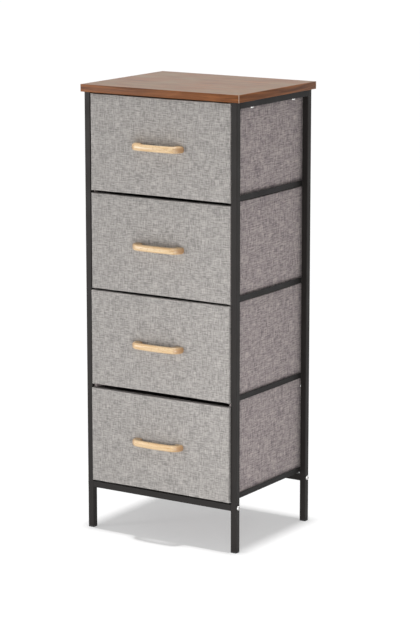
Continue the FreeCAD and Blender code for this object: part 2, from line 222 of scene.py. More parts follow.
@dataclass(frozen=True)
class LinenWeave(Finish):
    """Polyester woven to look like linen: matt, with thick and thin threads in two greys, both ways.

    The threads are 0.8 mm apart on the real cloth.  They are drawn coarser, so that they show.
    """

    light: str
    dark: str
    weft_share: float = 1.3
    warp_share: float = 1.0
    slub_share: float = 0.6
    patch_share: float = 0.3
    lean: float = 0.025
    spread: float = 0.295
    thread: float = 1.5 * MM
    thread_run: float = 14 * MM
    slub: float = 2.8 * MM
    slub_run: float = 34 * MM
    patch: float = 26 * MM
    relief: float = 0.5 * MM

    def wire(self, tree: Tree, at: Outputs) -> Node:
        """Wires threads that run both ways over the cloth's own UV map, which is in metres.

        Args:
            tree: the material's node tree.
            at: the coordinates of a point.

        Returns:
            The shader.
        """
        streaks = []
        for width, run in ((self.thread, self.thread_run), (self.slub, self.slub_run)):
            for size in ([run, width, 1.0], [width, run, 1.0]):
                streaks.append(scatter_marks(tree, at["UV"], size, 1.5, 0.6)["Fac"])
        streaks.append(scatter_marks(tree, at["UV"], [self.patch] * 3, 2.0)["Fac"])
        shares = (self.weft_share, self.warp_share, self.slub_share, self.slub_share, self.patch_share)
        woven = [0.0]
        for streak, share in zip(streaks, shares):
            added = {0: streak, 1: share, 2: woven[-1]}
            woven.append(add_node(tree, "Math", added, operation="MULTIPLY_ADD").outputs[0])
        middle = sum(shares) / 2 + self.lean
        colour = lay_over(
            tree, self.dark, self.light, woven[-1], (middle - self.spread, middle + self.spread)
        )
        look = {
            "Base Color": colour,
            "Roughness": 0.92,
            "Specular IOR Level": 0.2,
            "Sheen Weight": 0.12,
            "Sheen Roughness": 0.6,
        }
        return self.shade(tree, look, relief={"Height": woven[2], "Strength": 0.6, "Distance": self.relief})


@dataclass(frozen=True)
class NonwovenLining(Finish):
    """Pressed polypropylene felt: pale, quite matt, with a fine crossed dimple from the rollers."""

    light: str = "#a9a6a3"
    dark: str = "#918e8b"
    dimple: float = 2.5 * MM
    fibre: float = 15 * MM

    def wire(self, tree: Tree, at: Outputs) -> Node:
        """Wires rows of dimples with a little loose fibre over them.

        Args:
            tree: the material's node tree.
            at: the coordinates of a point.

        Returns:
            The shader.
        """
        cells = {"Vector": at["Object"], "Scale": 1 / self.dimple, "Randomness": 0.25}
        dimples = add_node(tree, "TexVoronoi", cells).outputs["Distance"]
        fibres = scatter_marks(tree, at["Object"], [self.fibre] * 3, 6.0)["Fac"]
        colour = lay_over(tree, self.dark, self.light, fibres)
        look = {"Base Color": colour, "Roughness": 0.95, "Specular IOR Level": 0.2}
        return self.shade(tree, look, relief={"Height": dimples, "Strength": 0.3, "Distance": 0.3 * MM})


class Grain(Enum):
    """Which way the grain of a wood finish runs."""

    ALONG_X = 0
    ALONG_Y = 1

    def marks(self, run: float, width: float) -> list[float]:
        """The size of marks in a wood that has this grain.

        Args:
            run: how long they are along the grain.
            width: how wide they are across it.

        Returns:
            Their size along x, y and z.
        """
        size = [width] * 3
        size[self.value] = run
        return size


@dataclass(frozen=True)
class WalnutMelamine(Finish):
    """Melamine paper printed as rustic walnut: brown streaks and grey clouds under a satin skin."""

    grain: Grain = Grain.ALONG_X
    dark: str = "#523424"
    light: str = "#956643"
    cloud: str = "#7c6d55"
    clouding: float = 0.7
    shine: float = 0.35
    streak: float = 5.5 * MM
    streak_run: float = 260 * MM
    haze: float = 45 * MM
    haze_run: float = 90 * MM
    sway: float = 80 * MM
    sway_run: float = 240 * MM
    sway_reach: float = 24 * MM
    pore: float = 1.6 * MM
    pore_run: float = 22 * MM

    def wire(self, tree: Tree, at: Outputs) -> Node:
        """Wires streaks along the grain, soft clouds across them, and fine pores.

        Args:
            tree: the material's node tree.
            at: the coordinates of a point.

        Returns:
            The shader.
        """
        marks = self.grain.marks
        drift = scatter_marks(tree, at["Object"], marks(self.sway_run, self.sway), 1.0)["Color"]
        bend = {0: drift, 1: [self.sway_reach] * 3, 2: at["Object"]}
        bent = add_node(tree, "VectorMath", bend, operation="MULTIPLY_ADD").outputs[0]
        streaks = scatter_marks(tree, bent, marks(self.streak_run, self.streak), 5.0, 0.62)["Fac"]
        brown = lay_over(tree, self.dark, self.light, streaks, (0.33, 0.68))
        clouds = scatter_marks(tree, bent, marks(self.haze_run, self.haze), 3.0)["Fac"]
        colour = lay_over(tree, brown, self.cloud, clouds, (0.35, 0.7), self.clouding)
        pores = scatter_marks(tree, at["Object"], marks(self.pore_run, self.pore), 2.0)["Fac"]
        look = {"Base Color": colour, "Specular IOR Level": self.shine}
        gloss = {"Value": pores, "To Min": 0.36, "To Max": 0.52}
        return self.shade(tree, look, gloss, {"Height": pores, "Strength": 0.12, "Distance": 0.2 * MM})


@dataclass(frozen=True)
class EdgeBandCoreAndHighlight(Finish):
    """Cut end of ABS edge banding, a little scratched: its tan plastic drawn near white, partly as a painted
    highlight on the board's corner arris.
    """

    # Near white: the plastic's own pale tan, lightened further as a painted highlight.
    tone: str = "#f0dccb"
    scratched: str = "#e2c4ab"
    scratch: float = 2 * MM

    def wire(self, tree: Tree, at: Outputs) -> Node:
        """Wires the marks of the trimming knife.

        Args:
            tree: the material's node tree.
            at: the coordinates of a point.

        Returns:
            The shader.
        """
        scratches = scatter_marks(tree, at["Object"], [self.scratch] * 3, 3.0)["Fac"]
        colour = lay_over(tree, self.tone, self.scratched, scratches)
        return self.shade(tree, {"Base Color": colour, "Roughness": 0.4})


@dataclass(frozen=True)
class LacqueredBeech(Finish):
    """Steamed beech under clear lacquer: pale tan with short dark flecks, and darker on its cut ends."""

    light: str = "#e9cfa6"
    dark: str = "#d2a976"
    fleck: str = "#9a6638"
    end: str = "#b58d64"
    band: float = 3.2 * MM
    band_run: float = 60 * MM
    fleck_width: float = 0.9 * MM
    fleck_run: float = 5 * MM

    def wire(self, tree: Tree, at: Outputs) -> Node:
        """Wires growth bands, flecks, darker ends and a thin glossy coat.

        Args:
            tree: the material's node tree.
            at: the coordinates of a point.

        Returns:
            The shader.
        """
        marks = Grain.ALONG_X.marks
        bands = scatter_marks(tree, at["Object"], marks(self.band_run, self.band), 3.0)["Fac"]
        tan = lay_over(tree, self.dark, self.light, bands, (0.3, 0.7))
        rays = scatter_marks(tree, at["Object"], marks(self.fleck_run, self.fleck_width), 0.0)["Fac"]
        flecked = lay_over(tree, tan, self.fleck, rays, (0.66, 0.76), 0.55)
        along = add_node(tree, "SeparateXYZ", {"Vector": at["Normal"]}).outputs["X"]
        cut_end = add_node(tree, "Math", {0: along}, operation="ABSOLUTE").outputs[0]
        colour = lay_over(tree, flecked, self.end, cut_end, (0.25, 0.85))
        look = {"Base Color": colour, "Roughness": 0.4, "Coat Weight": 0.35, "Coat Roughness": 0.3}
        return self.shade(tree, look, relief={"Height": bands, "Strength": 0.1, "Distance": 0.15 * MM})


@dataclass(frozen=True)
class PowderCoat(Finish):
    """Black polyester powder, sprayed and baked on steel: satin, with a faint orange peel."""

    tone: str = "#201d1c"
    worn: str = "#282523"
    peel: float = 1.8 * MM
    drift: float = 50 * MM

    def wire(self, tree: Tree, at: Outputs) -> Node:
        """Wires the peel, and a slow change of gloss along the tubes.

        Args:
            tree: the material's node tree.
            at: the coordinates of a point.

        Returns:
            The shader.
        """
        peel = scatter_marks(tree, at["Object"], [self.peel] * 3, 2.0)["Fac"]
        drift = scatter_marks(tree, at["Object"], [self.drift] * 3, 3.0)["Fac"]
        look = {"Base Color": lay_over(tree, self.tone, self.worn, drift), "Specular IOR Level": 0.2}
        gloss = {"Value": drift, "From Min": 0.3, "From Max": 0.7, "To Min": 0.48, "To Max": 0.6}
        return self.shade(tree, look, gloss, {"Height": peel, "Strength": 0.15, "Distance": 0.2 * MM})


@dataclass(frozen=True)
class MouldedPlastic(Finish):
    """Injection-moulded black polypropylene: dull, with the fine spark texture of its mould."""

    tone: str = "#1f1f20"
    spark: float = 0.9 * MM

    def wire(self, tree: Tree, at: Outputs) -> Node:
        """Wires the spark texture.

        Args:
            tree: the material's node tree.
            at: the coordinates of a point.

        Returns:
            The shader.
        """
        spark = scatter_marks(tree, at["Object"], [self.spark] * 3, 1.0)["Fac"]
        gloss = {"Value": spark, "To Min": 0.45, "To Max": 0.65}
        relief = {"Height": spark, "Strength": 0.25, "Distance": 0.15 * MM}
        return self.shade(tree, {"Base Color": self.tone, "IOR": 1.49}, gloss, relief)


@dataclass(frozen=True)
class ZincPlate(Finish):
    """Bright zinc plating on steel screws: silvery, a little cloudy, and smooth."""

    tone: str = "#dedddb"
    cloud: str = "#b9b8b6"
    bath: float = 3 * MM

    def wire(self, tree: Tree, at: Outputs) -> Node:
        """Wires the clouds of the plating bath.

        Args:
            tree: the material's node tree.
            at: the coordinates of a point.

        Returns:
            The shader.
        """
        clouds = scatter_marks(tree, at["Object"], [self.bath] * 3, 3.0)["Fac"]
        look = {"Base Color": lay_over(tree, self.cloud, self.tone, clouds), "Metallic": 1.0}
        return self.shade(tree, look, {"Value": clouds, "To Min": 0.2, "To Max": 0.38})


@dataclass(frozen=True)
class SewingThread(Finish):
    """Spun polyester thread: soft grey, with a twist that catches a little light."""

    tone: str = "#8f8b88"
    twist: float = 0.7 * MM

    def wire(self, tree: Tree, at: Outputs) -> Node:
        """Wires the twist.

        Args:
            tree: the material's node tree.
            at: the coordinates of a point.

        Returns:
            The shader.
        """
        plies = {"Vector": at["Object"], "Scale": 1 / self.twist, "Distortion": 1.0}
        twist = add_node(tree, "TexWave", plies, bands_direction="DIAGONAL").outputs["Fac"]
        look = {"Base Color": self.tone, "Roughness": 0.7, "Sheen Weight": 0.2}
        return self.shade(tree, look, relief={"Height": twist, "Strength": 0.4, "Distance": 0.1 * MM})


# ---- Shaping ----


def block(low: Vector, high: Vector) -> Shape:
    """A box between two corners.

    Args:
        low: its lowest corner.
        high: its highest corner.

    Returns:
        The box.
    """
    shape = bmesh.new()
    place = Matrix.LocRotScale((low + high) / 2, None, high - low)
    bmesh.ops.create_cube(shape, size=1.0, matrix=place)
    return shape


def spaced(low: float, high: float, parts: int) -> list[float]:
    """The places that divide a stretch into equal parts."""
    return [low + (high - low) * number / parts for number in range(1, parts)]


def spots(start: Vector, end: Vector, count: int) -> list[Vector]:
    """The middles of the equal parts of a line."""
    return [start + (end - start) * (number + 0.5) / count for number in range(count)]


def cut_across(shape: Shape, axis: int, places: list[float]) -> None:
    """Cuts a shape across an axis, so that it can bend there.

    Args:
        shape: the shape to cut.
        axis: 0, 1 or 2.
        places: where to cut, along that axis.
    """
    normal = Vector((0.0, 0.0, 0.0))
    normal[axis] = 1.0
    for place in places:
        whole = [*shape.verts, *shape.edges, *shape.faces]
        bmesh.ops.bisect_plane(shape, geom=whole, plane_co=normal * place, plane_no=normal)


def near(value: float, wanted: float) -> bool:
    """Whether two lengths are the same to a hundredth of a millimetre."""
    return abs(value - wanted) < 0.01 * MM


def edges_at(shape: Shape, axis: int, place: float) -> list[Edge]:
    """The edges that lie at one place along an axis."""
    return [edge for edge in shape.edges if all(near(vert.co[axis], place) for vert in edge.verts)]


def edges_level(shape: Shape) -> list[Edge]:
    """The edges that run level."""
    return [edge for edge in shape.edges if near(edge.verts[0].co.z, edge.verts[1].co.z)]


def edges_along(shape: Shape, axis: int) -> list[Edge]:
    """Finds the sharp edges that run parallel to an axis.

    Args:
        shape: the shape that they belong to.
        axis: 0, 1 or 2.

    Returns:
        The edges.
    """
    found = []
    for edge in shape.edges:
        run = (edge.verts[1].co - edge.verts[0].co).normalized()
        if abs(run[axis]) > PARALLEL and edge.calc_face_angle(0.0) > SHARP:
            found.append(edge)
    return found


def round_edges(shape: Shape, edges: list[Edge], radius: float, steps: int) -> None:
    """Rounds edges.

    Args:
        shape: the shape that they belong to.
        edges: the edges.
        radius: the radius of the rounding.
        steps: how many faces it is made of.
    """
    bmesh.ops.bevel(
        shape,
        geom=edges,
        offset=radius,
        offset_type="OFFSET",
        segments=steps,
        profile=0.5,
        affect="EDGES",
        material=-1,
        clamp_overlap=True,
    )


def ramp(value: float, start: float, width: float) -> float:
    """Rises evenly from 0 to 1 over a stretch, and stays level before and after it."""
    return min(1.0, max(0.0, (value - start) / width))


@dataclass(frozen=True)
class Ripple:
    """A smooth unevenness, the same on every run."""

    height: float
    length: float
    seed: float = 0.0

    def at(self, point: Vector, number: int = 0) -> float:
        """How strong it is at a point.

        Args:
            point: where.
            number: sets one piece apart from another.

        Returns:
            Between about -height and height.
        """
        seed = self.seed + number
        return self.height * noise.noise(point / self.length + Vector((seed, 2 * seed, 3 * seed)))


def lay_cloth(shape: Shape, shift: float) -> None:
    """Gives a shape a UV map in metres, laid flat on each side of it.

    Args:
        shape: the shape.
        shift: moves the cloth along, so that no two pieces show the same threads.
    """
    layer = shape.loops.layers.uv.new("cloth")
    shape.normal_update()
    for face in shape.faces:
        facing = max(range(3), key=lambda axis: abs(face.normal[axis]))
        across, up = ((1, 2), (0, 2), (0, 1))[facing]
        for loop in face.loops:
            loop[layer].uv = (loop.vert.co[across] + shift, loop.vert.co[up] + shift)


def turned(profile: list[tuple[float, float]], steps: int) -> Shape:
    """A shape turned about Z from a profile, like work on a lathe.

    Args:
        profile: (radius, height) pairs from the axis outwards and down.
        steps: how many sectors a turn has; the middle of the first lies on +X.

    Returns:
        The turned shape.
    """
    shape = bmesh.new()
    start = math.pi / steps
    points = [Vector((r * math.cos(start), -r * math.sin(start), z)) for r, z in profile]
    line = [shape.verts.new(point) for point in points]
    edges = [shape.edges.new(pair) for pair in zip(line, line[1:])]
    bmesh.ops.spin(
        shape,
        geom=[*line, *edges],
        cent=(0, 0, 0),
        axis=(0, 0, 1),
        dvec=(0, 0, 0),
        angle=2 * math.pi,
        steps=steps,
        use_merge=True,
        use_duplicate=False,
    )
    bmesh.ops.remove_doubles(shape, verts=shape.verts, dist=0.001 * MM)
    bmesh.ops.recalc_face_normals(shape, faces=shape.faces)
    return shape


def absorb(shape: Shape, other: Shape, place: Matrix) -> None:
    """Adds a copy of one shape to another.

    Args:
        shape: the shape that grows.
        other: the shape that is copied.
        place: where the copy goes.
    """
    copy = bpy.data.meshes.new("copy")
    other.to_mesh(copy)
    copy.transform(place)
    shape.from_mesh(copy)
    bpy.data.meshes.remove(copy)


# ---- Fasteners ----


class Drive(Enum):
    """The recess that turns a screw."""

    CROSS = "cross"
    HEXAGON = "hexagon"


@dataclass(frozen=True)
class ScrewHead:
    """A round head with a recess, on a stub of its shank.

    The dome is given as shares of the radius and of the height, from the recess to the seat.
    """

    drive: Drive
    radius: float
    height: float
    shank: float
    shank_length: float
    recess: float
    recess_depth: float
    cross_taper: float = 0.6
    steps: int = 24
    dome: tuple = ((0.62, 0.97), (0.84, 0.8), (0.97, 0.45), (1.0, 0.12), (0.97, 0.0))

    def shape(self) -> Shape:
        """The head, its top towards +Z and its seat at z = 0.

        Returns:
            The head and shank as one closed shape.
        """
        profile = [(0.0, self.height), (self.recess, self.height)]
        profile += [(out * self.radius, up * self.height) for out, up in self.dome]
        profile += [(self.shank, 0.0), (self.shank, -self.shank_length), (0.0, -self.shank_length)]
        shape = turned(profile, self.steps)
        top = [
            face
            for face in shape.faces
            if face.normal.z > PARALLEL and face.calc_center_median().xy.length < self.recess
        ]
        if self.drive is Drive.CROSS:
            top = [face for face in top if self.in_cross(face)]
        else:
            self.square_off(shape)
        sunk = bmesh.ops.extrude_face_region(shape, geom=top)
        bmesh.ops.delete(shape, geom=top, context="FACES_ONLY")
        floor = [item for item in sunk["geom"] if isinstance(item, bmesh.types.BMVert)]
        bmesh.ops.translate(shape, verts=floor, vec=(0, 0, -self.recess_depth))
        if self.drive is Drive.CROSS:
            bmesh.ops.scale(shape, verts=floor, vec=(self.cross_taper, self.cross_taper, 1.0))
        return shape

    def in_cross(self, face: bmesh.types.BMFace) -> bool:
        """Whether a sector of the head belongs to the cross recess.

        Args:
            face: the top face of the sector.

        Returns:
            True where it does.
        """
        middle = face.calc_center_median()
        sector = round(math.atan2(middle.y, middle.x) / (2 * math.pi / self.steps))
        return sector % (self.steps // 4) == 0

    def square_off(self, shape: Shape) -> None:
        """Moves the ring round the recess out to a hexagon.

        Args:
            shape: the head.
        """
        half_side = math.pi / 6
        for vert in shape.verts:
            if near(vert.co.xy.length, self.recess) and near(vert.co.z, self.height):
                turn = math.atan2(vert.co.y, vert.co.x) % (2 * half_side)
                vert.co.xy *= math.cos(half_side) / math.cos(turn - half_side)


# ---- What the sub-assemblies share ----


@dataclass(frozen=True)
class Padding:
    """Thin wadding under a stretched cover, as the cloth simulation takes it."""

    pressure: float = 0.3
    stiffness: float = 80.0
    shear: float = 40.0
    bending: float = 1.0
    mass: float = 0.3
    quality: int = 8
    reach: float = 2.0 * MM
    frames: int = 14


@dataclass
class SubAssembly:
    """What every sub-assembly shares: turning shapes into pieces that ride on its body."""

    body: str

    def add_piece(
        self,
        name: str,
        shape: Shape,
        finish: Material,
        slot: str,
        stands_for: tuple[str, ...] = (),
        crease: float = 40.0,
    ) -> bpy.types.Object:
        """Turns a shape into a piece that rides on this sub-assembly's body.

        Args:
            name: the piece's name.
            shape: the finished shape, which is freed.
            finish: its material.
            slot: the record's material slot that the finish belongs to; not used.
            stands_for: the CAD nodes that the piece shows instead of.
            crease: the angle in degrees above which an edge looks sharp.

        Returns:
            The new object.
        """
        mesh = bpy.data.meshes.new(name)
        shape.to_mesh(mesh)
        shape.free()
        mesh.materials.append(finish)
        mesh.shade_smooth()
        mesh.set_sharp_from_angle(angle=math.radians(crease))
        piece = bpy.data.objects.new(name, mesh)
        bpy.context.scene.collection.objects.link(piece)
        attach(piece, self.body)
        if stands_for:
            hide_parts(*stands_for)
        log.info("%s: %d faces, rides on %s", name, len(mesh.polygons), self.body)
        return piece

    def add_screws(
        self,
        name: str,
        head: ScrewHead,
        places: list[Matrix],
        finish: Material,
        stands_for: tuple[str, ...] = (),
    ) -> None:
        """Puts the same screw in several places, as one piece.

        Args:
            name: the piece's name.
            head: the screw.
            places: for each one, where its seat is and which way it faces.
            finish: its material.
            stands_for: the CAD nodes that the piece shows instead of.
        """
        source, screws = head.shape(), bmesh.new()
        for place in places:
            absorb(screws, source, place)
        source.free()
        self.add_piece(name, screws, finish, "zinc_plate", stands_for)

    def swell(self, piece: bpy.types.Object, padding: Padding, held: list[int]) -> None:
        """Lets a cover settle over its padding as simulated cloth, and keeps the result in its mesh.

        Args:
            piece: the cover.
            padding: how hard the padding pushes, and how far it gets.
            held: the vertices that are stapled down.
        """
        group = piece.vertex_groups.new(name="held")
        group.add(held, 1.0, "REPLACE")
        cover = piece.modifiers.new("cover", "CLOTH")
        cover.point_cache.frame_start, cover.point_cache.frame_end = 1, padding.frames
        settings = cover.settings
        settings.vertex_group_mass = group.name
        settings.quality = padding.quality
        settings.mass = padding.mass
        settings.tension_stiffness = settings.compression_stiffness = padding.stiffness
        settings.shear_stiffness = padding.shear
        settings.bending_stiffness = padding.bending
        settings.use_pressure = True
        settings.uniform_pressure_force = padding.pressure
        settings.effector_weights.gravity = 0.0
        for frame_number in range(1, padding.frames + 1):
            bpy.context.scene.frame_set(frame_number)
        settled = piece.evaluated_get(bpy.context.evaluated_depsgraph_get()).data.vertices
        shifts = [after.co - before.co for before, after in zip(piece.data.vertices, settled)]
        piece.modifiers.remove(cover)
        piece.vertex_groups.remove(group)
        bpy.context.scene.frame_set(1)
        for vert, shift in zip(piece.data.vertices, shifts):
            vert.co += shift.normalized() * padding.reach * math.tanh(shift.length / padding.reach)
        log.info("%s: settled, furthest %.2f mm", piece.name, max(s.length for s in shifts) / MM)

    def dress_node(self, name: str, finish: Material) -> None:
        """Gives a CAD node its material and leaves its shape alone.

        Args:
            name: the node's name.
            finish: its material.
        """
        node = frame["nodes"][name]
        node.data.materials.clear()
        node.data.materials.append(finish)
        log.info("%s: CAD shape, dressed", name)


# ---- Top board ----


@dataclass
class TopBoard(SubAssembly):
    """The laminated board and the four strips that band its edges."""

    laminate: Material
    band_along_x: Material
    band_along_y: Material
    # The ends of the bands, drawn pale: cut core with a painted highlight on the corners.
    band_core_and_highlight: Material
    band: float = 2.0 * MM
    arris: float = 0.6 * MM
    core_and_highlight_facing: float = 0.9

    def build(self) -> None:
        """Builds the panel and its four edge bands."""
        low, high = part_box("top_board")
        inset = Vector((self.band, self.band, 0.0))
        panel = block(low + inset, high - inset)
        self.add_piece("top_panel", panel, self.laminate, "walnut_laminate", ("top_board",))
        for name, axis, side in (("front", 1, low), ("rear", 1, high), ("left", 0, low), ("right", 0, high)):
            start, end = low.copy(), high.copy()
            inner = side[axis] + (self.band if side is low else -self.band)
            start[axis], end[axis] = sorted((side[axis], inner))
            if axis == 0:
                start.y, end.y = low.y + self.band, high.y - self.band
            finish = self.band_along_x if axis == 1 else self.band_along_y
            shape = self.strip(start, end, axis)
            strip = self.add_piece(f"top_edge_band_{name}", shape, finish, "walnut_laminate")
            strip.data.materials.append(self.band_core_and_highlight)

    def strip(self, start: Vector, end: Vector, axis: int) -> Shape:
        """One edge band, its outer edges scraped round.

        Args:
            start: its lowest corner.
            end: its highest corner.
            axis: the axis that it faces along.

        Returns:
            The strip, its ends given the second material.
        """
        shape = block(start, end)
        outer = max(start[axis], end[axis], key=abs)
        round_edges(shape, edges_at(shape, axis, outer), self.arris, steps=3)
        shape.normal_update()
        for face in shape.faces:
            face.material_index = int(abs(face.normal[1 - axis]) > self.core_and_highlight_facing)
        return shape


# ---- Steel frame ----


@dataclass
class SteelFrame(SubAssembly):
    """The welded and bolted square-tube frame, its runners, feet, screws and welds."""

    powder: Material
    # A darker copy of the powder coat: painted shade for the top rails and runners.
    powder_painted_shade: Material
    plastic: Material
    zinc: Material
    bead: float = 1.5 * MM
    bead_step: float = 2.1 * MM
    bead_swell: Ripple = Ripple(0.18, 2.5 * MM, seed=0.3)
    screw_dome: float = 1.0 * MM

    def build(self) -> None:
        """Dresses the CAD nodes of the frame and adds what they lack."""
        for name in frame["record"]["behaviour"]["bodies"]["frame"]:
            if name.startswith(("post_", "cross_rail_")):
                self.dress_node(name, self.powder)
            elif name.startswith(("top_rail_", "runner_")):
                # Painted shade: the top rails and runners take the darker copy of the powder coat.
                self.dress_node(name, self.powder_painted_shade)
            elif name.startswith("foot_"):
                self.dress_node(name, self.plastic)
        self.dress_node("rail_nuts", self.zinc)
        self.add_piece("weld_beads", self.welds(), self.powder, "powder_coat", crease=80)
        self.add_top_screws()
        self.add_frame_bolts()

    def welds(self) -> Shape:
        """The fillet welds at the ends of the runners and of the top rails.

        Returns:
            Every bead of them in one shape.
        """
        drop = bmesh.new()
        bmesh.ops.create_icosphere(drop, subdivisions=2, radius=self.bead)
        beads = bmesh.new()
        for side in ("left", "right"):
            for end in ("front", "rear"):
                low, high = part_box(f"post_{end}_{side}")
                y = high.y if end == "front" else low.y
                for number in (1, 2, 3, 4):
                    foot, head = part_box(f"runner_{number}_{side}")
                    x = head.x if side == "right" else foot.x
                    self.run_bead(beads, drop, Vector((x, y, foot.z - self.bead)), Vector((x, y, head.z)))
                foot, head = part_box(f"top_rail_{side}")
                self.run_bead(beads, drop, Vector((foot.x, y, foot.z)), Vector((head.x, y, foot.z)))
        drop.free()
        return beads

    def run_bead(self, beads: Shape, drop: Shape, start: Vector, end: Vector) -> None:
        """Lays overlapping drops of weld along a joint.

        Args:
            beads: the shape that they are added to.
            drop: one drop.
            start: where the weld starts.
            end: where it ends.
        """
        count = max(2, round((end - start).length / self.bead_step))
        for middle in spots(start, end, count):
            swell = 1.0 + self.bead_swell.at(middle)
            absorb(beads, drop, Matrix.LocRotScale(middle, None, (swell, swell, swell)))

    def add_top_screws(self) -> None:
        """The pan-head screws under the top rails."""
        low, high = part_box("top_screws")
        foot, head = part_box("top_rail_right")
        middle = (foot.x + head.x) / 2
        radius, height = (high.x - low.x) / 2 - middle, foot.z - low.z + self.screw_dome
        sizes = {"shank": 2 * MM, "shank_length": 8 * MM, "recess": 2.6 * MM, "recess_depth": 1.6 * MM}
        face_down = Matrix.Rotation(math.pi, 4, "X")
        places = [
            Matrix.Translation((x, y, foot.z)) @ face_down
            for x in (-middle, middle)
            for y in (low.y + radius, high.y - radius)
        ]
        pan = ScrewHead(Drive.CROSS, radius, height, **sizes)
        self.add_screws("top_board_screws", pan, places, self.zinc, ("top_screws",))

    def add_frame_bolts(self) -> None:
        """The button-head bolts at the ends of the cross rails."""
        low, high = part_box("frame_bolts")
        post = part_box("post_front_right")[1]
        radius, height = (high.z - low.z) / 2, high.x - post.x
        sizes = {"shank": 3 * MM, "shank_length": 40 * MM, "recess": 2.7 * MM, "recess_depth": 2.6 * MM}
        places = [
            Matrix.Translation((sign * post.x, y, (low.z + high.z) / 2))
            @ Matrix.Rotation(sign * math.pi / 2, 4, "Y")
            for sign in (-1, 1)
            for y in (low.y + radius, high.y - radius)
        ]
        button = ScrewHead(Drive.HEXAGON, radius, height, **sizes)
        self.add_screws("cross_rail_bolts", button, places, self.zinc, ("frame_bolts",))


# ---- Drawers ----


@dataclass
class Drawer(SubAssembly):
    """One drawer: a padded front, a sewn bin with its lining and hem, a base insert and a bow handle.

    Each of the fields that end in _parts says how many parts a shape is cut into, so that it can bend.
    """

    number: int
    front_linen: Material
    bin_linen: Material
    lining: Material
    thread: Material
    beech: Material
    zinc: Material
    front_lift: float = 0.0
    front_spread: float = 1.9 * MM
    front_corner: float = 1.0 * MM
    front_round: float = 2.3 * MM
    front_rear_round: float = 1.5 * MM
    front_parts: tuple[int, int] = (30, 18)
    edge_slack: float = 0.9 * MM
    end_share: float = 0.45
    crown: float = 0.5 * MM
    crown_ripple: Ripple = Ripple(0.35 * MM, 85 * MM)
    stapled_share: float = 0.4
    bin_wall: float = 3 * MM
    bin_corner: float = 4 * MM
    bin_parts: tuple[int, int, int] = (14, 12, 9)
    belly: float = 1.3 * MM
    wall_ripple: Ripple = Ripple(0.5 * MM, 70 * MM, seed=10)
    wall_share: float = 0.97
    corner_share: float = 0.979
    corner_width: float = 0.01
    rim_rise: float = 4.6 * MM
    rim_drop: float = 5.2 * MM
    rim_sag: Ripple = Ripple(0.8 * MM, 90 * MM)
    hem_width: float = 16 * MM
    hem_stand: float = 0.7 * MM
    hem_start: float = 0.5 * MM
    hem_fold: float = 1.6 * MM
    piping: float = 0.9 * MM
    piping_floor: float = 1.2 * MM
    piping_foot: float = 2 * MM
    binding: float = 4.3 * MM
    binding_seam: float = 1.0 * MM
    binding_thickness: float = 2.8 * MM
    binding_set_back: float = 0.1 * MM
    binding_foot: float = 0.2 * MM
    binding_head: float = 1.0 * MM
    binding_round: float = 0.6 * MM
    binding_ripple: Ripple = Ripple(0.4 * MM, 30 * MM, seed=20)
    binding_parts: int = 16
    stitch: tuple[float, float, float] = (2.6 * MM, 0.45 * MM, 0.55 * MM)
    stitch_pitch: float = 3.8 * MM
    stitch_inset: float = 2.2 * MM
    insert_corner: float = 6 * MM
    insert_round: float = 1.1 * MM
    insert_parts: tuple[int, int] = (10, 8)
    insert_dent: Ripple = Ripple(0.15 * MM, 60 * MM)
    handle_bow: float = 4.5 * MM
    handle_shoulder: float = 20 * MM
    handle_foot: float = 22 * MM
    handle_bar: float = 13 * MM
    handle_throat: float = 8 * MM
    handle_round: float = 5.7 * MM
    handle_parts: int = 8
    screw_inset: float = 8.5 * MM

    def build(self) -> None:
        """Builds every piece of the drawer."""
        self.add_front()
        self.add_bin()
        self.add_hem()
        self.add_piping()
        self.add_binding()
        self.add_stitches()
        self.add_insert()
        self.add_handle()
        self.add_handle_screws()

    def node(self, part: str) -> str:
        """The name of one of the drawer's CAD nodes or pieces."""
        return f"{self.body}_{part}"

    def cloth_shift(self, first: float, step: float) -> float:
        """How far along its cloth a piece of this drawer is cut, so that no two drawers look the same."""
        return first + step * self.number

    def add_linen(self, part: str, shape: Shape, first: float, step: float, crease: float = 40.0) -> None:
        """Covers a shape with the bin's linen and makes it a piece.

        Args:
            part: what the piece is.
            shape: its shape.
            first: where on the cloth the piece is cut, before the first drawer.
            step: how much further along each next drawer's piece is cut.
            crease: the angle in degrees above which an edge looks sharp.
        """
        lay_cloth(shape, self.cloth_shift(first, step))
        self.add_piece(self.node(part), shape, self.bin_linen, "linen_bin", crease=crease)

    def add_front(self) -> None:
        """The stiff front in its cover, rounded, and drawn in a little between its corners."""
        low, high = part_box(self.node("front"))
        low += Vector((-self.front_spread, 0.0, self.front_lift))
        high += Vector((self.front_spread, 0.0, self.front_lift))
        shape = block(low, high)
        round_edges(shape, edges_along(shape, 1), self.front_corner, steps=3)
        round_edges(shape, edges_at(shape, 1, high.y), self.front_rear_round, steps=2)
        round_edges(shape, edges_at(shape, 1, low.y), self.front_round, steps=5)
        cut_across(shape, 0, spaced(low.x, high.x, self.front_parts[0]))
        cut_across(shape, 2, spaced(low.z, high.z, self.front_parts[1]))
        middle, half = (low + high) / 2, (high - low) / 2
        for vert in shape.verts:
            u, v = (vert.co.x - middle.x) / half.x, (vert.co.z - middle.z) / half.z
            forward = (high.y - vert.co.y) / (high.y - low.y)
            vert.co.z -= v * self.edge_slack * (1 - u * u)
            vert.co.x -= u * self.end_share * self.edge_slack * (1 - v * v)
            swell = self.crown * (1 - u * u) * (1 - v * v)
            vert.co.y -= forward * (swell + self.crown_ripple.at(vert.co, self.number))
        lay_cloth(shape, self.cloth_shift(0.0, 0.61))
        name, stands_for = self.node("padded_front"), (self.node("front"),)
        front = self.add_piece(name, shape, self.front_linen, "linen_front", stands_for)
        back = high.y - self.stapled_share * (high.y - low.y)
        self.swell(front, Padding(), [vert.index for vert in front.data.vertices if vert.co.y > back])

